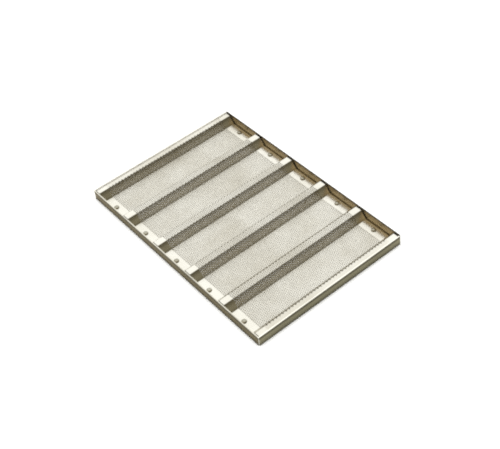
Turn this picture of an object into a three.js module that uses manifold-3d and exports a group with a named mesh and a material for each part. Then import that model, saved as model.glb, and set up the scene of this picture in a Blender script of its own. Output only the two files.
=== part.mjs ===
// Baguette tray: a sheet folded into five flat-bottomed channels and riveted inside a flat-bar frame.
// Millimetres, +Z up. The origin is the middle of the footprint, on the surface that the tray rests on.
// X runs along the tray's long side, across the channels. Y runs along the channels.
import * as THREE from 'three';
import { mergeVertices } from 'three/addons/utils/BufferGeometryUtils.js';
import Module from 'manifold-3d';

// Overall size.
const TRAY_LENGTH = 600;
const TRAY_WIDTH = 400;

// Frame: one flat bar on edge, bent round four corners.
const FRAME_HEIGHT = 25.5;
const FRAME_THICKNESS = 3;
const FRAME_CORNER_RADIUS = 4;

// Channel sheet.
const CHANNEL_COUNT = 5;
const CHANNEL_PITCH = 116.4;
const SHEET_THICKNESS = 1.5;
const FLOOR_TOP = 5;
const RIDGE_TOP = 23;
const RIDGE_WIDTH = 16;
const WALL_RUN = 15;
const BEND_RADIUS = 1.2;
const SHEET_SIDE_GAP = 0.3;
const SHEET_END_GAP = 2.5;
const SHEET_CORNER_RADIUS = 4;

// Rest strips: flat strips inside the long sides, which the sheet's ends are riveted to.
const STRIP_WIDTH = 25;
const STRIP_THICKNESS = 2;

// Rivets: a domed head on the channel floor and a formed tail under the strip.
const RIVET_INSET = 16.2;
const RIVET_HEAD_RADIUS = 6;
const RIVET_HEAD_HEIGHT = 3;
const RIVET_SHANK_RADIUS = 2.4;
const RIVET_TAIL_RADIUS = 4;
const RIVET_TAIL_HEIGHT = 1.2;
const RIVET_HOLE_RADIUS = RIVET_SHANK_RADIUS + 0.3;

// Fineness of the round shapes.
const BEND_STEPS = 4;
const CORNER_STEPS = 8;
const ROUND_SIDES = 24;
const DOME_STEPS = 6;
const TAIL_STEPS = 3;

// Sizes that follow from the ones above.
const INNER_LENGTH = TRAY_LENGTH - 2 * FRAME_THICKNESS;
const INNER_WIDTH = TRAY_WIDTH - 2 * FRAME_THICKNESS;
const INNER_CORNER_RADIUS = FRAME_CORNER_RADIUS - FRAME_THICKNESS;
const SHEET_LENGTH = INNER_LENGTH - 2 * SHEET_SIDE_GAP;
const SHEET_WIDTH = INNER_WIDTH - 2 * SHEET_END_GAP;
const STRIP_TOP = FLOOR_TOP - SHEET_THICKNESS;
const STRIP_BOTTOM = STRIP_TOP - STRIP_THICKNESS;
const STRIP_LENGTH = INNER_LENGTH - 2 * INNER_CORNER_RADIUS;
const RIVET_Y = TRAY_WIDTH / 2 - RIVET_INSET;

const wasm = await Module();
wasm.setup();

const sheetMetal = new THREE.MeshStandardMaterial({ color: 0xd9d6cc, roughness: 0.35, metalness: 1 });
const frameMetal = new THREE.MeshStandardMaterial({ color: 0xb9b3a0, roughness: 0.4, metalness: 1 });
const stripMetal = new THREE.MeshStandardMaterial({ color: 0xa8a496, roughness: 0.45, metalness: 1 });
const rivetMetal = new THREE.MeshStandardMaterial({ color: 0xc9c7bd, roughness: 0.3, metalness: 1 });

// The middle of a channel, counted from 1 at the -X end.
function channelMiddle(number) {
  return (number - (CHANNEL_COUNT + 1) / 2) * CHANNEL_PITCH;
}

// A closed three.js geometry as a manifold-3d solid.
function toSolid(geometry) {
  const bare = geometry.clone();
  bare.deleteAttribute('normal');
  bare.deleteAttribute('uv');
  const merged = mergeVertices(bare);
  const mesh = new wasm.Mesh({
    numProp: 3,
    vertProperties: new Float32Array(merged.getAttribute('position').array),
    triVerts: new Uint32Array(merged.getIndex().array),
  });
  return new wasm.Manifold(mesh);
}

// A manifold-3d solid as a three.js geometry.
function toGeometry(solid) {
  const mesh = solid.getMesh();
  const geometry = new THREE.BufferGeometry();
  geometry.setAttribute('position', new THREE.BufferAttribute(mesh.vertProperties, 3));
  geometry.setIndex(new THREE.BufferAttribute(mesh.triVerts, 1));
  geometry.computeVertexNormals();
  return geometry;
}

// A rectangle centred on the origin, with round corners. The path is a THREE.Shape or THREE.Path.
function roundedRectangle(path, length, width, radius) {
  const x = length / 2 - radius;
  const y = width / 2 - radius;
  path.moveTo(x, -y - radius);
  path.absarc(x, -y, radius, -Math.PI / 2, 0, false);
  path.absarc(x, y, radius, 0, Math.PI / 2, false);
  path.absarc(-x, y, radius, Math.PI / 2, Math.PI, false);
  path.absarc(-x, -y, radius, Math.PI, 1.5 * Math.PI, false);
  path.closePath();
  return path;
}

// Points along a folded centre line, each with its left-hand normal. Every corner becomes an arc.
function foldedLine(corners, radius) {
  const line = [];
  const leftOf = (direction) => new THREE.Vector2(-direction.y, direction.x);
  const between = (from, to) => to.clone().sub(from).normalize();
  const last = corners.length - 1;
  line.push({ point: corners[0], normal: leftOf(between(corners[0], corners[1])) });
  for (let i = 1; i < last; i += 1) {
    const before = between(corners[i - 1], corners[i]);
    const after = between(corners[i], corners[i + 1]);
    const turn = Math.atan2(before.cross(after), before.dot(after));
    const side = Math.sign(turn);
    const start = corners[i].clone().addScaledVector(before, -radius * Math.tan(Math.abs(turn) / 2));
    const centre = start.clone().addScaledVector(leftOf(before), side * radius);
    for (let step = 0; step <= BEND_STEPS; step += 1) {
      const normal = leftOf(before).rotateAround(new THREE.Vector2(), (turn * step) / BEND_STEPS);
      line.push({ point: centre.clone().addScaledVector(normal, -side * radius), normal });
    }
  }
  line.push({ point: corners[last], normal: leftOf(between(corners[last - 1], corners[last])) });
  return line;
}

// The sheet's cross-section in X and Z: flange, then channel and ridge in turn, then flange.
function sheetSection() {
  const low = FLOOR_TOP - SHEET_THICKNESS / 2;
  const high = RIDGE_TOP - SHEET_THICKNESS / 2;
  const foot = (CHANNEL_PITCH - RIDGE_WIDTH) / 2 - WALL_RUN;
  const corners = [new THREE.Vector2(-SHEET_LENGTH / 2, high)];
  for (let number = 1; number <= CHANNEL_COUNT; number += 1) {
    const middle = channelMiddle(number);
    corners.push(new THREE.Vector2(middle - foot - WALL_RUN, high));
    corners.push(new THREE.Vector2(middle - foot, low));
    corners.push(new THREE.Vector2(middle + foot, low));
    corners.push(new THREE.Vector2(middle + foot + WALL_RUN, high));
  }
  corners.push(new THREE.Vector2(SHEET_LENGTH / 2, high));
  const line = foldedLine(corners, BEND_RADIUS + SHEET_THICKNESS / 2);
  const half = SHEET_THICKNESS / 2;
  const upper = line.map(({ point, normal }) => point.clone().addScaledVector(normal, half));
  const lower = line.map(({ point, normal }) => point.clone().addScaledVector(normal, -half));
  return new THREE.Shape([...lower, ...upper.reverse()]);
}

// Upright cylinders where the rivets pass through, as one solid.
function rivetHoles(side) {
  let holes = null;
  for (let number = 1; number <= CHANNEL_COUNT; number += 1) {
    const drill = new THREE.CylinderGeometry(RIVET_HOLE_RADIUS, RIVET_HOLE_RADIUS, FRAME_HEIGHT, ROUND_SIDES);
    drill.rotateX(Math.PI / 2);
    drill.translate(channelMiddle(number), side * RIVET_Y, STRIP_TOP);
    holes = holes === null ? toSolid(drill) : holes.add(toSolid(drill));
  }
  return holes;
}

function rimFrame() {
  const outline = roundedRectangle(new THREE.Shape(), TRAY_LENGTH, TRAY_WIDTH, FRAME_CORNER_RADIUS);
  outline.holes.push(roundedRectangle(new THREE.Path(), INNER_LENGTH, INNER_WIDTH, INNER_CORNER_RADIUS));
  return new THREE.ExtrudeGeometry(outline, {
    depth: FRAME_HEIGHT,
    bevelEnabled: false,
    curveSegments: CORNER_STEPS,
  });
}

// The folded section runs the whole width. Its plan corners are rounded to clear the frame's bends.
function channelSheet() {
  const folded = new THREE.ExtrudeGeometry(sheetSection(), { depth: TRAY_WIDTH, bevelEnabled: false });
  folded.rotateX(Math.PI / 2);
  folded.translate(0, TRAY_WIDTH / 2, 0);
  const outline = roundedRectangle(new THREE.Shape(), SHEET_LENGTH, SHEET_WIDTH, SHEET_CORNER_RADIUS);
  const blank = new THREE.ExtrudeGeometry(outline, {
    depth: FRAME_HEIGHT,
    bevelEnabled: false,
    curveSegments: CORNER_STEPS,
  });
  const trimmed = toSolid(folded).intersect(toSolid(blank));
  return toGeometry(trimmed.subtract(rivetHoles(-1)).subtract(rivetHoles(1)));
}

// A strip lies against the inside of one long side. side is -1 at the front and 1 at the rear.
function restStrip(side) {
  const bar = new THREE.BoxGeometry(STRIP_LENGTH, STRIP_WIDTH, STRIP_THICKNESS);
  bar.translate(0, (side * (INNER_WIDTH - STRIP_WIDTH)) / 2, STRIP_TOP - STRIP_THICKNESS / 2);
  return toGeometry(toSolid(bar).subtract(rivetHoles(side)));
}

// Points on a quarter ellipse from the axis at one height out to a radius at another.
function domeProfile(radius, fromHeight, toHeight, steps) {
  const points = [];
  for (let step = 0; step <= steps; step += 1) {
    const angle = (step / steps) * (Math.PI / 2);
    const height = toHeight + (fromHeight - toHeight) * Math.cos(angle);
    points.push(new THREE.Vector2(radius * Math.sin(angle), height));
  }
  points[0].x = 0;
  return points;
}

// One solid of revolution about its own axis, with height 0 at the channel floor.
function rivet() {
  const tailTop = STRIP_BOTTOM - FLOOR_TOP;
  const tailEnd = tailTop - RIVET_TAIL_HEIGHT;
  const profile = [
    ...domeProfile(RIVET_TAIL_RADIUS, tailEnd, tailTop, TAIL_STEPS),
    new THREE.Vector2(RIVET_SHANK_RADIUS, tailTop),
    new THREE.Vector2(RIVET_SHANK_RADIUS, 0),
    ...domeProfile(RIVET_HEAD_RADIUS, RIVET_HEAD_HEIGHT, 0, DOME_STEPS).reverse(),
  ];
  const geometry = new THREE.LatheGeometry(profile, ROUND_SIDES);
  geometry.rotateX(Math.PI / 2);
  return geometry;
}

const tray = new THREE.Group();

function addPiece(name, geometry, material) {
  const mesh = new THREE.Mesh(geometry, material);
  mesh.name = name;
  tray.add(mesh);
  return mesh;
}

addPiece('rim_frame', rimFrame(), frameMetal);
addPiece('channel_sheet', channelSheet(), sheetMetal);
for (const [end, side] of [['front', -1], ['rear', 1]]) {
  addPiece(`rest_strip_${end}`, restStrip(side), stripMetal);
  for (let number = 1; number <= CHANNEL_COUNT; number += 1) {
    const piece = addPiece(`rivet_${end}_${number}`, rivet(), rivetMetal);
    piece.position.set(channelMiddle(number), side * RIVET_Y, FLOOR_TOP);
  }
}

export default tray;
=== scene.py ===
"""A baguette tray: one perforated sheet folded into five channels and riveted inside a flat-bar rim.

Metres, +Z up. The origin is the middle of the footprint, on the floor. X runs across the channels and Y
along them, with the rear at +Y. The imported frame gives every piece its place. This script gives each piece
its finish, and all but the two strips a finer shape.
"""

import math

import bpy
import numpy as np
from mathutils import Matrix, Vector


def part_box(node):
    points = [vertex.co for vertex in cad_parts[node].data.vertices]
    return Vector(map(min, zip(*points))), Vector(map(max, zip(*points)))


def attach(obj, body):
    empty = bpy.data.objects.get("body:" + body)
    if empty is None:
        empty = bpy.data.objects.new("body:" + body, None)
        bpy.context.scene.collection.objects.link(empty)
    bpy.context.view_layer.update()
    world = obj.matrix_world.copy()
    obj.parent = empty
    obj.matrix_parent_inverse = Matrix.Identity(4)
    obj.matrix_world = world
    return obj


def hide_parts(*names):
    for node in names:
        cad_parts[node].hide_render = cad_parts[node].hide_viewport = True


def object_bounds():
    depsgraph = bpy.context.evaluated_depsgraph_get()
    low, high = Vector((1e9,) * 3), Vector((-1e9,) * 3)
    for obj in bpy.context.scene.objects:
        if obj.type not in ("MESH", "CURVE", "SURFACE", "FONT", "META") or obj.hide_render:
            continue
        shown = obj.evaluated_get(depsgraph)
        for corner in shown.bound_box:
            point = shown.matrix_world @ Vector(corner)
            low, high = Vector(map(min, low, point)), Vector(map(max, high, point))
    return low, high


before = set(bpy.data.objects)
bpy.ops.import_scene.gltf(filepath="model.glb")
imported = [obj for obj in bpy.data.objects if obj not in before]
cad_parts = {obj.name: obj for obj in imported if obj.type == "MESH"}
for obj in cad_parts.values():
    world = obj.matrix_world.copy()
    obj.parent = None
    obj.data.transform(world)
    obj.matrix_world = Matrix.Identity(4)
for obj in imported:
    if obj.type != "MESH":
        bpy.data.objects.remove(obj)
cad_low, cad_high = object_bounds()

MM = 0.001

# Folded section of the sheet, as in the CAD model.
CHANNEL_COUNT = 5
CHANNEL_PITCH = 116.4 * MM
RIDGE_WIDTH = 16 * MM
WALL_RUN = 15 * MM
SHEET_THICKNESS = 1.5 * MM
BEND_RADIUS = 1.2 * MM
BEND_STEPS = 4
SHEET_CORNER_RADIUS = 4 * MM
CORNER_STEPS = 8
FLOOR_TOP = 5 * MM

# Perforation: round holes in staggered rows across the sheet, on the flat blank before it is folded. The
# outermost column is counted in half pitches from the middle. Each plain margin is meshed in a few steps.
HOLE_RADIUS = 1.5 * MM
HOLE_PITCH = 5 * MM
ROW_PITCH = HOLE_PITCH * math.sqrt(3) / 2
ROW_COUNT = 79
OUTER_COLUMN = 130
QUARTER_HOLE_POINTS = 3
MARGIN_STEPS = 4
PERFORATED_HALF_WIDTH = ROW_COUNT * ROW_PITCH / 2

# A cut this close to the end of a polygon is left out, and corners that agree to this many decimals of a
# metre are joined.
CUT_TOLERANCE = MM / 1000
JOIN_DECIMALS = 8

# Rim: one flat bar on edge, with eased edges.
RIM_THICKNESS = 3 * MM
RIM_CORNER_RADIUS = 4 * MM
RIM_EDGE_RADIUS = 0.3 * MM
RIM_CORNER_STEPS = 12
EDGE_STEPS = 4

# Edges that turn more than this stay sharp.
SMOOTH_BELOW = math.radians(50)

# Rivets: a domed head on the channel floor and a formed tail under the strip.
RIVET_HEAD_RADIUS = 6 * MM
RIVET_HEAD_LIP = 0.5 * MM
RIVET_SHANK_RADIUS = 2.4 * MM
RIVET_TAIL_RADIUS = 4 * MM
RIVET_TAIL_HEIGHT = 1.2 * MM
RIVET_SIDES = 48
DOME_STEPS = 12

# Camera: the point it looks at, the way it lies from there, its roll and its lens in millimetres.
CAMERA_TARGET = Vector((0.0241, 0.0040, 0.0))
CAMERA_AZIMUTH = math.radians(55.773)
CAMERA_ELEVATION = math.radians(45.401)
CAMERA_ROLL = math.radians(-7.573)
CAMERA_DISTANCE = 2.25475
CAMERA_LENS = 72.55
CAMERA_SENSOR = 36.0

# Studio: the floor, the lamp, and what the world shows. All colours here are linear.
FLOOR_HALF_SIZE = 4.0
LAMP_HEIGHT = 2.4
LAMP_SIZE = 1.4
LAMP_BRIGHTNESS = 7.5
BACKDROP = (0.92, 0.92, 0.90)
FILL = (1, 1, 0.98)
ROOM = (0.44, 0.37, 0.25)
PIXEL_FILTER_WIDTH = 2.0

# Patches that the metals mirror: inner and outer half angles in degrees, and colour.
BRIGHT_PATCH = (26, 46, (1.26, 1.25, 1.18))
DIM_PATCH = (4, 40, (0.2, 0.178, 0.114))
DIM_PATCH_DIRECTION = Vector((0.73, 0.36, 0.58))

# Noises: scale and detail of each, and for some of them the part of its range that is used.
STAIN_NOISE = (9, 5)
STAIN_RANGE = (0.42, 0.72)
RIM_STAIN_NOISE = (14, 5)
RIM_STAIN_RANGE = (0.35, 0.7)
POLISH_NOISE = (24, 4)
POLISH_RANGE = (0.3, 0.7)
GRAIN_NOISE = (900, 3)
PAPER_NOISE = (3, 4)

# Metals: a clean and a stained colour, the least and greatest roughness, and factors on x, y and z that draw
# the grain out, where 0.1 makes it ten times as long. A glance colour tints what is mirrored at a low angle.
GRAIN_DEPTH = 0.01 * MM
STRIP_CLEAN = (0.22, 0.20, 0.15)
STRIP_STAINED = (0.16, 0.14, 0.10)
STRIP_ROUGHNESS = (0.3, 0.42)
STRIP_GRAIN = (0.1, 1, 1)
RIVET_CLEAN = (0.44, 0.43, 0.37)
RIVET_STAINED = (0.34, 0.32, 0.26)
RIVET_ROUGHNESS = (0.17, 0.24)
RIVET_GRAIN = (1, 1, 1)
SHEET_CLEAN = (0.82, 0.81, 0.77)
SHEET_STAINED = (0.72, 0.70, 0.64)
SHEET_ROUGHNESS = (0.2, 0.3)
SHEET_GRAIN = (1, 0.08, 1)
SHEET_GLANCE = (0.7, 0.68, 0.62, 1)
RIM_ROUGHNESS = (0.25, 0.36)
RIM_GRAIN = (0.15, 0.15, 1)
RIM_GLANCE = (0.76, 0.72, 0.66, 1)

# Sheet: rougher where it is perforated, with a gradual change at the edge of the holes.
PERFORATED_DULLNESS = 0.19
DULLNESS_FADE = 1 * MM

# Darkening on the sheet's walls: its colour, then its steps as (low, high, strength at low, strength at
# high).
# The walls grow darker towards the ridge, and the same colour paints shade as thin dark lines along the bend
# under each ridge and in the crease at each wall's foot.
WALL_DARKENING_AND_SHADE = (0.2, 0.19, 0.15)
WALL_DARKENING_CLIMB = (14 * MM, 21.5 * MM, 0, 0.66)
# Painted shade: a thin dark line along the bend where each wall meets the ridge top.
WALL_BEND_SHADE = (22 * MM, 22.3 * MM, 0, 0.2)
WALL_DARKENING_STOP = (22.5 * MM, 22.95 * MM, 1, 0)
# Painted shade: a dark band in the crease at each wall's foot.
WALL_FOOT_SHADE_START = (5.1 * MM, 5.5 * MM, 0, 1)
WALL_FOOT_SHADE_FADE = (6 * MM, 9 * MM, 0.5, 0)

# Rim colours. On the long bars each face goes from a foot colour to a top colour, and the short bars' inner
# and outer faces have one colour each. The outer faces are dark, partly as the bar's own tone and partly as
# painted shade; they are darker at the foot, and painted lighter on the short bars. The top edge is bright,
# except at the rear, where it is painted dark as shade.
INNER_FOOT = (0.92, 0.82, 0.61)
INNER_TOP = (0.67, 0.59, 0.445)
INNER_SHORT = (0.90, 0.89, 0.86)
# Outer faces: dark partly as the bar's own tone and partly as painted shade for the dark surroundings they
# mirror, darker at the foot, and painted lighter on the short bars.
SHADED_OUTER_FOOT = (0.12, 0.104, 0.058)
SHADED_OUTER_TOP = (0.15, 0.13, 0.075)
SHADED_OUTER_SHORT = (0.195, 0.183, 0.122)
BRIGHT_TOP_EDGE = (0.86, 0.84, 0.76)
# Painted shade: the rear top edge is made dark where the other top edges are bright.
REAR_EDGE_SHADE = (0.05, 0.042, 0.028)
# Painted shade on the outer faces: dark at the foot and in a band below the top.
RIM_SHADE = (0.02, 0.018, 0.012)
BLACK = (0, 0, 0)

# Where those colours change, as (low, high, share at low, share at high).
INNER_FADE = (12 * MM, 20 * MM, 0, 1)
SHADED_OUTER_FADE = (3 * MM, 14 * MM, 0, 1)
RIM_FOOT_SHADE = (0, 10 * MM, 0.6, 0)
RIM_UPPER_SHADE = (17 * MM, 22 * MM, 0, 0.8)

# Zones of the rim: the distances in from its outer faces, or down from its top, where each one starts and
# where it is whole.
SHORT_BAR_ZONE = (3.5 * MM, 3.1 * MM)
REAR_BAR_ZONE = (3.6 * MM, 3.1 * MM)
OUTSIDE_ZONE = (1.2 * MM, 0.7 * MM)
TOP_EDGE_ZONE = (0.8 * MM, 0.45 * MM)

# How much of the top edge's bright colour reaches its outer part, how dark the stains are, and how metallic
# the short bars' inner faces are.
OUTER_EDGE_BRIGHT_SHARE = 0.45
RIM_STAIN_STRENGTH = 0.2
DULL_METALLIC = 0.15

# Paper: its colour, the share of it that the mottle leaves where it is darkest, and its finish.
PAPER = (0.9, 0.9, 0.89)
PAPER_MOTTLE = 0.985
PAPER_ROUGHNESS = 0.9
PAPER_SHINE = 0.1


# ---------------------------------------------------------------- meshes

def new_object(name, vertices, faces, material):
    """A mesh object, shaded smooth except over its sharp edges."""
    mesh = bpy.data.meshes.new(name)
    mesh.from_pydata(vertices, [], faces)
    mesh.shade_smooth()
    mesh.set_sharp_from_angle(angle=SMOOTH_BELOW)
    mesh.materials.append(material)
    piece = bpy.data.objects.new(name, mesh)
    bpy.context.scene.collection.objects.link(piece)
    return piece


def stand_for(piece, node):
    """The piece takes the place of a CAD node, which is hidden."""
    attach(piece, "root")
    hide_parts(node)


# ---------------------------------------------------------------- channel sheet

def section_corners(low, high):
    """Corners of the sheet's middle line in x and z, from one flange's edge to the other's."""
    foot = (CHANNEL_PITCH - RIDGE_WIDTH) / 2 - WALL_RUN
    floor_z = FLOOR_TOP - SHEET_THICKNESS / 2
    ridge_z = high.z - SHEET_THICKNESS / 2
    corners = [(low.x, ridge_z)]
    for number in range(CHANNEL_COUNT):
        middle = (number - (CHANNEL_COUNT - 1) / 2) * CHANNEL_PITCH
        corners.append((middle - foot - WALL_RUN, ridge_z))
        corners.append((middle - foot, floor_z))
        corners.append((middle + foot, floor_z))
        corners.append((middle + foot + WALL_RUN, ridge_z))
    corners.append((high.x, ridge_z))
    return np.array(corners)


def forward(angle):
    """The direction in x and z that climbs at the angle."""
    return np.array((math.cos(angle), math.sin(angle)))


def left(angle):
    """The upward normal of a line that climbs at the angle."""
    return np.array((-math.sin(angle), math.cos(angle)))


def fold_stations(corners):
    """Stations along the blank, with the folded middle line's point and upward normal at each.

    The blank is flat between two stations, and its middle is at 0.
    """
    radius = BEND_RADIUS + SHEET_THICKNESS / 2
    headings = [math.atan2(z, x) for x, z in np.diff(corners, axis=0)]
    along, points, normals = [0.0], [corners[0]], [left(headings[0])]
    for corner, before, after in zip(corners[1:-1], headings[:-1], headings[1:]):
        turn = after - before
        side = math.copysign(1, turn)
        start = corner - forward(before) * radius * math.tan(abs(turn) / 2)
        centre = start + left(before) * side * radius
        start_along = along[-1] + np.linalg.norm(start - points[-1])
        for step in range(BEND_STEPS + 1):
            angle = before + turn * step / BEND_STEPS
            along.append(start_along + radius * abs(turn) * step / BEND_STEPS)
            points.append(centre - left(angle) * side * radius)
            normals.append(left(angle))
    along.append(along[-1] + np.linalg.norm(corners[-1] - points[-1]))
    points.append(corners[-1])
    normals.append(left(headings[-1]))
    return np.array(along) - along[-1] / 2, np.array(points), np.array(normals)


def split(polygon, normal, offset):
    """The two parts of a polygon, below and above the line where normal . point = offset."""
    below, above = [], []
    heights = [normal[0] * u + normal[1] * v - offset for u, v in polygon]
    for i, (u, v) in enumerate(polygon):
        following = (i + 1) % len(polygon)
        if heights[i] <= 0:
            below.append((u, v))
        if heights[i] >= 0:
            above.append((u, v))
        if heights[i] * heights[following] < 0:
            share = heights[i] / (heights[i] - heights[following])
            next_u, next_v = polygon[following]
            crossing = (u + (next_u - u) * share, v + (next_v - v) * share)
            below.append(crossing)
            above.append(crossing)
    return below, above


def blank_squares(half_length, half_width):
    """The blank as polygons on a grid of half pitches. A square loses a corner that is a hole's centre."""
    step_u = HOLE_PITCH / 2
    step_v = ROW_PITCH / 2
    last_column = int(half_length / step_u)
    columns = [-half_length, *(i * step_u for i in range(-last_column, last_column + 1)), half_length]
    margin = np.linspace(ROW_COUNT * step_v, half_width, MARGIN_STEPS + 1)[1:]
    rows = [*-margin[::-1], *(j * step_v for j in range(-ROW_COUNT, ROW_COUNT + 1)), *margin]

    def is_hole(a, b):
        """Whether a hole is centred on this corner of the grid."""
        column = a - 1 - last_column
        half_row = b - MARGIN_STEPS - ROW_COUNT
        inside = abs(column) <= OUTER_COLUMN and abs(half_row) < ROW_COUNT
        return inside and half_row % 2 == 0 and (column + half_row // 2) % 2 == 0

    squares = []
    for a in range(len(columns) - 1):
        for b in range(len(rows) - 1):
            square = []
            for corner, (p, q) in enumerate(((a, b), (a + 1, b), (a + 1, b + 1), (a, b + 1))):
                if not is_hole(p, q):
                    square.append((columns[p], rows[q]))
                    continue
                for point in range(QUARTER_HOLE_POINTS):
                    angle = (corner + 1 - point / (QUARTER_HOLE_POINTS - 1)) * math.pi / 2
                    u = columns[p] + HOLE_RADIUS * math.cos(angle)
                    v = rows[q] + HOLE_RADIUS * math.sin(angle)
                    square.append((u, v))
            squares.append(square)
    return squares


def cut_at(polygons, cuts):
    """The polygons, divided at each of the sorted places along the blank."""
    parts = []
    for polygon in polygons:
        low = min(u for u, _ in polygon) + CUT_TOLERANCE
        high = max(u for u, _ in polygon) - CUT_TOLERANCE
        for cut in cuts[np.searchsorted(cuts, low):np.searchsorted(cuts, high)]:
            part, polygon = split(polygon, (1, 0), cut)
            parts.append(part)
        parts.append(polygon)
    return parts


def round_corners(polygons, half_length, half_width):
    """The polygons, trimmed to the blank's four round corners."""
    start_u = half_length - SHEET_CORNER_RADIUS
    start_v = half_width - SHEET_CORNER_RADIUS
    angles = [math.pi / 2 * (step + 0.5) / CORNER_STEPS for step in range(CORNER_STEPS)]
    reach = SHEET_CORNER_RADIUS * math.cos(math.pi / 4 / CORNER_STEPS)
    kept = []
    for polygon in polygons:
        u, v = np.mean(polygon, axis=0)
        if abs(u) > start_u - HOLE_PITCH and abs(v) > start_v - HOLE_PITCH:
            for angle in angles:
                normal = (math.copysign(math.cos(angle), u), math.copysign(math.sin(angle), v))
                offset = start_u * math.cos(angle) + start_v * math.sin(angle) + reach
                polygon, _ = split(polygon, normal, offset)
        if len(polygon) > 2:
            kept.append(polygon)
    return kept


def thicken(polygons, along, points, normals):
    """Vertices and faces of a closed solid: the folded polygons on both sides, walled at open edges."""
    flat = np.round([corner for polygon in polygons for corner in polygon], JOIN_DECIMALS)
    flat, index = np.unique(flat, axis=0, return_inverse=True)
    index = index.ravel().tolist()
    ends = np.cumsum([len(polygon) for polygon in polygons]).tolist()
    upper = [index[start:end] for start, end in zip([0, *ends], ends)]
    count = len(flat)
    lower = [[count + i for i in reversed(face)] for face in upper]
    edges = dict.fromkeys(edge for face in upper for edge in zip(face, face[1:] + face[:1]))
    walls = [(b, a, a + count, b + count) for a, b in edges if (b, a) not in edges]
    layers = []
    for side in (1, -1):
        surface = points + normals * side * SHEET_THICKNESS / 2
        x = np.interp(flat[:, 0], along, surface[:, 0])
        z = np.interp(flat[:, 0], along, surface[:, 1])
        layers.append(np.column_stack((x, flat[:, 1], z)))
    return np.vstack(layers), upper + lower + walls


def channel_sheet(material):
    """The folded sheet, as one closed piece for each channel, meeting along the middles of the ridges."""
    low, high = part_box("channel_sheet")
    along, points, normals = fold_stations(section_corners(low, high))
    half_length = along[-1]
    half_width = high.y
    ridges = [(number - CHANNEL_COUNT / 2) * CHANNEL_PITCH for number in range(1, CHANNEL_COUNT)]
    seams = np.interp(ridges, points[:, 0], along)
    polygons = blank_squares(half_length, half_width)
    polygons = cut_at(polygons, np.sort([*along[1:-1], *seams]))
    polygons = round_corners(polygons, half_length, half_width)
    groups = [[] for _ in range(CHANNEL_COUNT)]
    for polygon in polygons:
        middle = sum(u for u, _ in polygon) / len(polygon)
        groups[np.searchsorted(seams, middle)].append(polygon)
    for number, group in enumerate(groups, 1):
        vertices, faces = thicken(group, along, points, normals)
        piece = new_object(f"channel_sheet_{number}", vertices, faces, material)
        stand_for(piece, "channel_sheet")


# ---------------------------------------------------------------- rim

def eased_section(thickness, bottom, top, radius):
    """A closed rectangle with round corners, as (depth from the outer face, height) pairs."""
    section = []
    centres = (
        (thickness - radius, top - radius, 0),
        (radius, top - radius, 1),
        (radius, bottom + radius, 2),
        (thickness - radius, bottom + radius, 3),
    )
    for depth, height, quarter in centres:
        for step in range(EDGE_STEPS + 1):
            angle = (quarter + step / EDGE_STEPS) * math.pi / 2
            section.append((depth + radius * math.cos(angle), height + radius * math.sin(angle)))
    return section


def rim_frame(material):
    """The bar's section carried round the four corners of the rim."""
    low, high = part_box("rim_frame")
    section = eased_section(RIM_THICKNESS, low.z, high.z, RIM_EDGE_RADIUS)
    vertices = []
    for quarter in range(4):
        start = quarter * math.pi / 2
        side_x = math.copysign(1, math.cos(start + math.pi / 4))
        side_y = math.copysign(1, math.sin(start + math.pi / 4))
        centre_x = side_x * (high.x - RIM_CORNER_RADIUS)
        centre_y = side_y * (high.y - RIM_CORNER_RADIUS)
        for step in range(RIM_CORNER_STEPS + 1):
            angle = start + step / RIM_CORNER_STEPS * math.pi / 2
            for depth, height in section:
                reach = RIM_CORNER_RADIUS - depth
                x = centre_x + reach * math.cos(angle)
                y = centre_y + reach * math.sin(angle)
                vertices.append((x, y, height))
    around = len(section)
    total = len(vertices)
    faces = []
    for start in range(0, total, around):
        for i in range(around):
            j = (i + 1) % around
            ahead = (start + around) % total
            faces.append((start + i, start + j, ahead + j, ahead + i))
    piece = new_object("rim", vertices, faces, material)
    weighted = piece.modifiers.new("even_faces", "WEIGHTED_NORMAL")
    weighted.keep_sharp = True
    stand_for(piece, "rim_frame")


# ---------------------------------------------------------------- rivets

def rivet_profile(top, bottom):
    """(radius, height) pairs from the tail's lowest point up to the head's highest."""
    tail_top = bottom + RIVET_TAIL_HEIGHT
    lip_top = FLOOR_TOP + RIVET_HEAD_LIP
    dome_height = top - lip_top
    tail, head = [], []
    for step in range(DOME_STEPS + 1):
        angle = math.pi / 2 * step / DOME_STEPS
        tail.append((RIVET_TAIL_RADIUS * math.sin(angle), tail_top - RIVET_TAIL_HEIGHT * math.cos(angle)))
        head.append((RIVET_HEAD_RADIUS * math.cos(angle), lip_top + dome_height * math.sin(angle)))
    shank = [(RIVET_SHANK_RADIUS, tail_top), (RIVET_SHANK_RADIUS, FLOOR_TOP), (RIVET_HEAD_RADIUS, FLOOR_TOP)]
    return tail + shank + head


def revolve(profile, x, y):
    """Vertices and faces of a solid turned about an upright axis. The profile's ends are on the axis."""
    vertices = [(x, y, profile[0][1])]
    for radius, height in profile[1:-1]:
        for side in range(RIVET_SIDES):
            angle = math.tau * side / RIVET_SIDES
            vertices.append((x + radius * math.cos(angle), y + radius * math.sin(angle), height))
    vertices.append((x, y, profile[-1][1]))
    last = len(vertices) - 1
    top_ring = last - RIVET_SIDES
    ring_count = len(profile) - 2
    faces = []
    for side in range(RIVET_SIDES):
        beside = (side + 1) % RIVET_SIDES
        faces.append((0, 1 + beside, 1 + side))
        for ring in range(ring_count - 1):
            start = 1 + ring * RIVET_SIDES
            above = start + RIVET_SIDES
            faces.append((start + side, start + beside, above + beside, above + side))
        faces.append((top_ring + side, top_ring + beside, last))
    return vertices, faces


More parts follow.
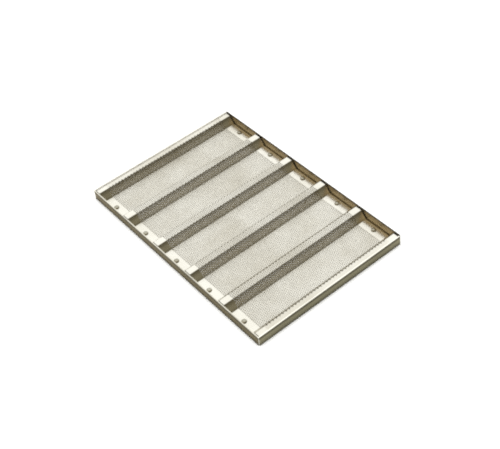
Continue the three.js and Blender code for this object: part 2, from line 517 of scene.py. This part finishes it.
def rivets(material):
    """Every rivet, at the place of its own CAD node."""
    for name in sorted(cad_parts):
        if not name.startswith("rivet_"):
            continue
        low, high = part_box(name)
        centre = (low + high) / 2
        vertices, faces = revolve(rivet_profile(high.z, low.z), centre.x, centre.y)
        piece = new_object(name.replace("rivet", "rivet_head"), vertices, faces, material)
        stand_for(piece, name)


def rest_strips(material):
    """The two strips keep their CAD shape and take a finish."""
    for name in ("rest_strip_front", "rest_strip_rear"):
        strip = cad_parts[name]
        strip.data.materials.clear()
        strip.data.materials.append(material)


# ---------------------------------------------------------------- nodes

class Nodes:
    """A node tree, and the few kinds of node that the finishes and the studio are made of."""

    def __init__(self, tree):
        self.make = tree.nodes.new
        self.link = tree.links.new

    def coordinates(self, kind):
        """The place of each shaded point, or the direction of each ray in a world."""
        return self.make("ShaderNodeTexCoord").outputs[kind]

    def axes(self, place):
        """The x, y and z of a place."""
        parts = self.make("ShaderNodeSeparateXYZ")
        self.link(place, parts.inputs["Vector"])
        return parts.outputs["X"], parts.outputs["Y"], parts.outputs["Z"]

    def noise(self, place, scale, detail, stretch=(1, 1, 1)):
        """A noise's value at a place, whose x, y and z are first multiplied by the stretch."""
        mapping = self.make("ShaderNodeMapping")
        mapping.inputs["Scale"].default_value = stretch
        self.link(place, mapping.inputs["Vector"])
        texture = self.make("ShaderNodeTexNoise")
        texture.inputs["Scale"].default_value = scale
        texture.inputs["Detail"].default_value = detail
        self.link(mapping.outputs["Vector"], texture.inputs["Vector"])
        return texture.outputs["Fac"]

    def ramp(self, source, low, high, from_value, to_value, smooth=False):
        """A value that goes from from_value to to_value while the source goes from low to high."""
        mapped = self.make("ShaderNodeMapRange")
        mapped.interpolation_type = "SMOOTHSTEP" if smooth else "LINEAR"
        mapped.inputs["From Min"].default_value = low
        mapped.inputs["From Max"].default_value = high
        mapped.inputs["To Min"].default_value = from_value
        mapped.inputs["To Max"].default_value = to_value
        self.link(source, mapped.inputs["Value"])
        return mapped.outputs["Result"]

    def blend(self, factor, first, second):
        """The colour from first to second as factor goes from 0 to 1."""
        mixed = self.make("ShaderNodeMix")
        mixed.data_type = "RGBA"
        self.link(factor, mixed.inputs["Factor"])
        for name, colour in (("A", first), ("B", second)):
            socket = next(i for i in mixed.inputs if i.name == name and i.type == "RGBA")
            if isinstance(colour, tuple):
                socket.default_value = (*colour, 1)
            else:
                self.link(colour, socket)
        return next(o for o in mixed.outputs if o.type == "RGBA")

    def maths(self, operation, first, second=None):
        """One arithmetic step on one or two values."""
        node = self.make("ShaderNodeMath")
        node.operation = operation
        self.link(first, node.inputs[0])
        if second is not None:
            self.link(second, node.inputs[1])
        return node.outputs[0]


def new_material(name):
    """A material with one shader, its nodes, and that shader."""
    material = bpy.data.materials.new(name)
    material.use_nodes = True
    material.node_tree.nodes.clear()
    nodes = Nodes(material.node_tree)
    output = nodes.make("ShaderNodeOutputMaterial")
    shader = nodes.make("ShaderNodeBsdfPrincipled")
    nodes.link(shader.outputs["BSDF"], output.inputs["Surface"])
    return material, nodes, shader


# ---------------------------------------------------------------- materials

def stained(nodes, place, clean, stain):
    """A metal's colour, with patchy stains."""
    stains = nodes.ramp(nodes.noise(place, *STAIN_NOISE), *STAIN_RANGE, 0, 1)
    return nodes.blend(stains, clean, stain)


def polish(nodes, place, smoothest, roughest):
    """An uneven roughness."""
    return nodes.ramp(nodes.noise(place, *POLISH_NOISE), *POLISH_RANGE, smoothest, roughest)


def worked_surface(nodes, shader, place, colour, roughness, grain_stretch):
    """The shader's colour and roughness, over a fine drawn grain."""
    nodes.link(colour, shader.inputs["Base Color"])
    nodes.link(roughness, shader.inputs["Roughness"])
    bump = nodes.make("ShaderNodeBump")
    bump.inputs["Distance"].default_value = GRAIN_DEPTH
    bump.inputs["Strength"].default_value = 1
    nodes.link(nodes.noise(place, *GRAIN_NOISE, grain_stretch), bump.inputs["Height"])
    nodes.link(bump.outputs["Normal"], shader.inputs["Normal"])


def plain_metal(name, clean, stain, roughness, grain_stretch):
    """A metal of one kind all over."""
    material, nodes, shader = new_material(name)
    place = nodes.coordinates("Object")
    shader.inputs["Metallic"].default_value = 1
    colour = stained(nodes, place, clean, stain)
    worked_surface(nodes, shader, place, colour, polish(nodes, place, *roughness), grain_stretch)
    return material


def strip_steel():
    """Dark rolled steel, with its grain along the strips."""
    return plain_metal("strip_steel", STRIP_CLEAN, STRIP_STAINED, STRIP_ROUGHNESS, STRIP_GRAIN)


def rivet_aluminium():
    """Smooth aluminium, darker than the sheet."""
    return plain_metal("rivet_aluminium", RIVET_CLEAN, RIVET_STAINED, RIVET_ROUGHNESS, RIVET_GRAIN)


def sheet_aluminium():
    """Bright aluminium, duller where it is perforated, darker up the channels' walls, with painted shade
    along their folds.
    """
    material, nodes, shader = new_material("sheet_aluminium")
    place = nodes.coordinates("Object")
    _, along, height = nodes.axes(place)
    whole = PERFORATED_HALF_WIDTH - DULLNESS_FADE
    gone = PERFORATED_HALF_WIDTH + DULLNESS_FADE
    dullness = nodes.ramp(nodes.maths("ABSOLUTE", along), whole, gone, PERFORATED_DULLNESS, 0)
    roughness = nodes.maths("ADD", polish(nodes, place, *SHEET_ROUGHNESS), dullness)
    colour = stained(nodes, place, SHEET_CLEAN, SHEET_STAINED)
    # The walls darken towards the ridge, with painted shade along their folds.
    colour = nodes.blend(darken_and_shade_walls(nodes, height), colour, WALL_DARKENING_AND_SHADE)
    shader.inputs["Metallic"].default_value = 1
    shader.inputs["Specular Tint"].default_value = SHEET_GLANCE
    worked_surface(nodes, shader, place, colour, roughness, SHEET_GRAIN)
    return material


def darken_and_shade_walls(nodes, height):
    """How much the sheet is darkened at a height: painted shade in the crease at each wall's foot and along
    the bend under the ridge, and a darkening that grows up each wall and stops short of the ridge top.
    """
    # Darker up the wall, plus painted shade as a thin dark line along the bend under the ridge.
    climb = nodes.maths("ADD", nodes.ramp(height, *WALL_DARKENING_CLIMB), nodes.ramp(height, *WALL_BEND_SHADE))
    upper = nodes.maths("MULTIPLY", climb, nodes.ramp(height, *WALL_DARKENING_STOP))
    # Painted shade in the crease at each wall's foot.
    foot = nodes.maths("MULTIPLY", nodes.ramp(height, *WALL_FOOT_SHADE_FADE), nodes.ramp(height, *WALL_FOOT_SHADE_START))
    return nodes.maths("ADD", upper, foot)


def rim_steel():
    """Steel bar: dark outside, partly its own tone and partly painted shade, with more painted shade at the
    foot and below the top; bright along the top, except at the rear edge, which is painted dark as shade.
    """
    material, nodes, shader = new_material("rim_steel")
    place = nodes.coordinates("Object")
    x, y, height = nodes.axes(place)
    half_x, half_y, top = cad_high

    def beyond(distance, limit, zone):
        """0 until the zone starts, 1 from where it is whole up to the limit."""
        start, whole = zone
        return nodes.ramp(distance, limit - start, limit - whole, 0, 1)

    from_middle_x = nodes.maths("ABSOLUTE", x)
    from_middle_y = nodes.maths("ABSOLUTE", y)
    short_bar = beyond(from_middle_x, half_x, SHORT_BAR_ZONE)
    short_outside = beyond(from_middle_x, half_x, OUTSIDE_ZONE)
    outside = nodes.maths("MAXIMUM", short_outside, beyond(from_middle_y, half_y, OUTSIDE_ZONE))

    inner = nodes.blend(nodes.ramp(height, *INNER_FADE), INNER_FOOT, INNER_TOP)
    inner = nodes.blend(short_bar, inner, INNER_SHORT)
    # Painted shade: the outer faces are darkened as if mirroring dark surroundings, more at the foot and
    # less on the short bars.
    outer = nodes.blend(nodes.ramp(height, *SHADED_OUTER_FADE), SHADED_OUTER_FOOT, SHADED_OUTER_TOP)
    outer = nodes.blend(short_outside, outer, SHADED_OUTER_SHORT)
    colour = nodes.blend(outside, inner, outer)

    # Painted shade on the outer faces, at the foot and in a band below the top.
    rim_shade_share = nodes.maths("ADD", nodes.ramp(height, *RIM_FOOT_SHADE), nodes.ramp(height, *RIM_UPPER_SHADE))
    colour = nodes.blend(nodes.maths("MULTIPLY", outside, rim_shade_share), colour, RIM_SHADE)

    # The rear top edge is painted dark as shade.
    edge = nodes.blend(beyond(y, half_y, REAR_BAR_ZONE), BRIGHT_TOP_EDGE, REAR_EDGE_SHADE)
    top_edge = beyond(height, top, TOP_EDGE_ZONE)
    bright_share = nodes.ramp(outside, 0, 1, 1, OUTER_EDGE_BRIGHT_SHARE)
    colour = nodes.blend(nodes.maths("MULTIPLY", top_edge, bright_share), colour, edge)

    stains = nodes.ramp(nodes.noise(place, *RIM_STAIN_NOISE), *RIM_STAIN_RANGE, 0, RIM_STAIN_STRENGTH)
    colour = nodes.blend(stains, colour, BLACK)

    dull = nodes.maths("MULTIPLY", short_bar, nodes.ramp(outside, 0, 1, 1, 0))
    nodes.link(nodes.ramp(dull, 0, 1, 1, DULL_METALLIC), shader.inputs["Metallic"])
    shader.inputs["Specular Tint"].default_value = RIM_GLANCE
    worked_surface(nodes, shader, place, colour, polish(nodes, place, *RIM_ROUGHNESS), RIM_GRAIN)
    return material


def paper():
    """A plain matt floor with a faint mottle."""
    material, nodes, shader = new_material("floor_paper")
    mottle = nodes.noise(nodes.coordinates("Object"), *PAPER_NOISE)
    darker = tuple(PAPER_MOTTLE * channel for channel in PAPER)
    nodes.link(nodes.blend(mottle, PAPER, darker), shader.inputs["Base Color"])
    shader.inputs["Roughness"].default_value = PAPER_ROUGHNESS
    shader.inputs["Specular IOR Level"].default_value = PAPER_SHINE
    return material


# ---------------------------------------------------------------- studio

def direction(azimuth, elevation):
    """From the target towards a camera at that azimuth and elevation. Azimuth 0 is on the -Y side."""
    flat = math.cos(elevation)
    return Vector((math.sin(azimuth) * flat, -math.cos(azimuth) * flat, math.sin(elevation)))


def camera():
    """The camera, turned about its line of sight by the roll."""
    data = bpy.data.cameras.new("camera")
    data.sensor_width = CAMERA_SENSOR
    data.lens = CAMERA_LENS
    body = bpy.data.objects.new("camera", data)
    back = direction(CAMERA_AZIMUTH, CAMERA_ELEVATION)
    level = Vector((math.cos(CAMERA_AZIMUTH), math.sin(CAMERA_AZIMUTH), 0))
    upright = back.cross(level)
    right = math.cos(CAMERA_ROLL) * level + math.sin(CAMERA_ROLL) * upright
    up = math.cos(CAMERA_ROLL) * upright - math.sin(CAMERA_ROLL) * level
    turn = Matrix((right, up, back)).transposed().to_4x4()
    body.matrix_world = Matrix.Translation(CAMERA_TARGET + back * CAMERA_DISTANCE) @ turn
    bpy.context.scene.collection.objects.link(body)
    bpy.context.scene.camera = body


def surroundings(patches):
    """A studio of one room colour all round, with soft-edged patches of other colours.

    A patch is its direction, its inner and outer half angles in degrees, and its colour. The metals mirror
    the room and the patches, the camera sees the backdrop, and the fill lights matt surfaces. The world is
    not sampled as a lamp, so that every ray that meets it is known by its kind.
    """
    world = bpy.data.worlds.new("studio")
    world.use_nodes = True
    world.cycles.sampling_method = "NONE"
    nodes = Nodes(world.node_tree)
    ray = nodes.coordinates("Generated")
    colour = ROOM
    for towards, inner, outer, patch_colour in patches:
        along = nodes.make("ShaderNodeVectorMath")
        along.operation = "DOT_PRODUCT"
        along.inputs[1].default_value = towards.normalized()
        nodes.link(ray, along.inputs[0])
        edges = math.cos(math.radians(outer)), math.cos(math.radians(inner))
        share = nodes.ramp(along.outputs["Value"], *edges, 0, 1, smooth=True)
        colour = nodes.blend(share, colour, patch_colour)
    ray_kind = nodes.make("ShaderNodeLightPath").outputs
    colour = nodes.blend(ray_kind["Is Diffuse Ray"], colour, FILL)
    colour = nodes.blend(ray_kind["Is Camera Ray"], colour, BACKDROP)
    nodes.link(colour, world.node_tree.nodes["Background"].inputs["Color"])
    bpy.context.scene.world = world


def overhead_light():
    """A large soft light straight above, which isn't mirrored in the metal.

    Its power is its brightness times pi times its area.
    """
    data = bpy.data.lights.new("overhead", "AREA")
    data.size = LAMP_SIZE
    data.energy = LAMP_BRIGHTNESS * math.pi * LAMP_SIZE * LAMP_SIZE
    lamp = bpy.data.objects.new("overhead", data)
    lamp.location.z = LAMP_HEIGHT
    lamp.visible_glossy = False
    bpy.context.scene.collection.objects.link(lamp)


def floor(material):
    """A flat square of paper."""
    half = FLOOR_HALF_SIZE
    corners = [(-half, -half, 0), (half, -half, 0), (half, half, 0), (-half, half, 0)]
    mesh = bpy.data.meshes.new("floor")
    mesh.from_pydata(corners, [], [(0, 1, 2, 3)])
    mesh.materials.append(material)
    plane = bpy.data.objects.new("floor", mesh)
    bpy.context.scene.collection.objects.link(plane)


def picture():
    """Colours as they are, a soft pixel filter, and no denoiser to smear the fine holes."""
    scene = bpy.context.scene
    scene.cycles.use_denoising = False
    scene.cycles.filter_width = PIXEL_FILTER_WIDTH
    scene.view_settings.view_transform = "Standard"


# ---------------------------------------------------------------- the scene

channel_sheet(sheet_aluminium())
rim_frame(rim_steel())
rivets(rivet_aluminium())
rest_strips(strip_steel())

floor(paper())
camera()
# What level metal mirrors into the camera lies at the same height on the far side.
mirrored = direction(CAMERA_AZIMUTH + math.pi, CAMERA_ELEVATION)
surroundings((
    (mirrored, *BRIGHT_PATCH),
    (DIM_PATCH_DIRECTION, *DIM_PATCH),
))
overhead_light()
picture()
